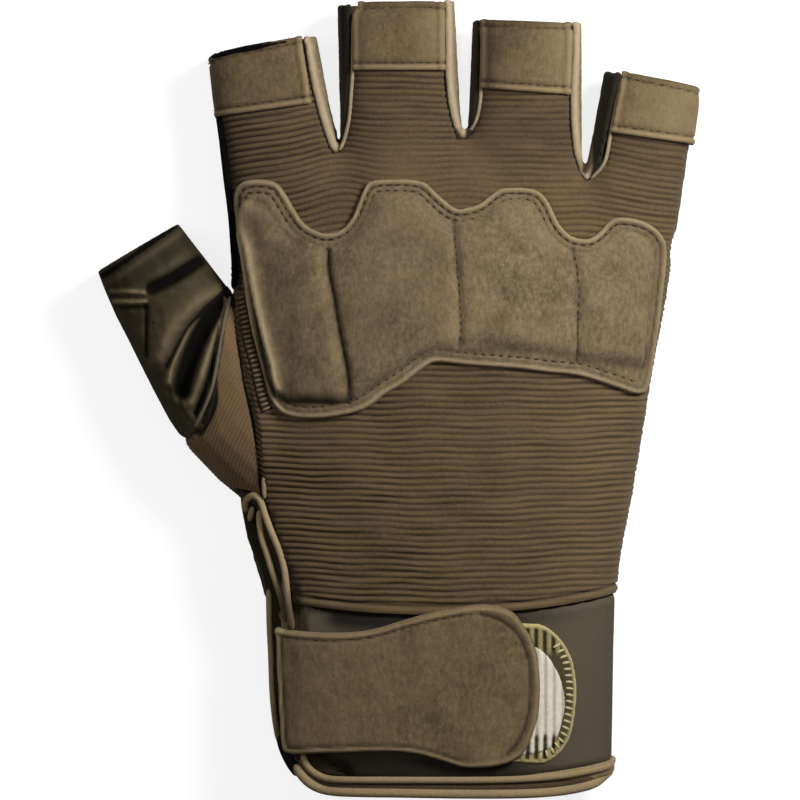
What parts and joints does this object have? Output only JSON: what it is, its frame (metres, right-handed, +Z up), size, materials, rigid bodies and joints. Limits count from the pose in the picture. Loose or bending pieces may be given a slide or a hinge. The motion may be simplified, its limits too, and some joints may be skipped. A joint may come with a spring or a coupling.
{
  "type": "fingerless grip glove",
  "caption": "Right-hand fingerless glove with a ribbed stretch back, padded knuckle guard, leather palm and thumb, and a hook-and-loop wrist strap.",
  "frame": {"origin": "on the surface that the palm lies on, under the middle of the glove", "axes": "+Z up out of the back of the hand, +Y along the fingers, -X towards the thumb"},
  "size_m": [0.1338, 0.1754, 0.0334],
  "materials": {
    "ribbed_knit": "brown ribbed stretch knit",
    "suede": "tan microfibre suede with a short nap",
    "leather": "dark brown soft leather with a low sheen",
    "elastic_fabric": "dark grey elastic cuff fabric",
    "binding_tape": "woven brown binding tape",
    "overlock_thread": "olive overlock thread over an ivory edge",
    "loop_pile": "ivory ribbed loop pile"
  },
  "bodies": {
    "root": {"back_panel": "ribbed_knit", "palm_panel": "leather", "thumb_leather": "leather", "thumb_gusset": "ribbed_knit", "fourchette_index_middle": "suede", "fourchette_middle_ring": "suede", "fourchette_ring_little": "suede", "index_tab": "suede", "middle_tab": "suede", "ring_tab": "suede", "little_tab": "suede", "knuckle_pad": "suede", "wrist_cuff": "elastic_fabric", "edge_binding": "binding_tape", "closure_patch": "overlock_thread", "closure_patch_face": "loop_pile", "wrist_strap": "suede"}
  },
  "joints": []
}
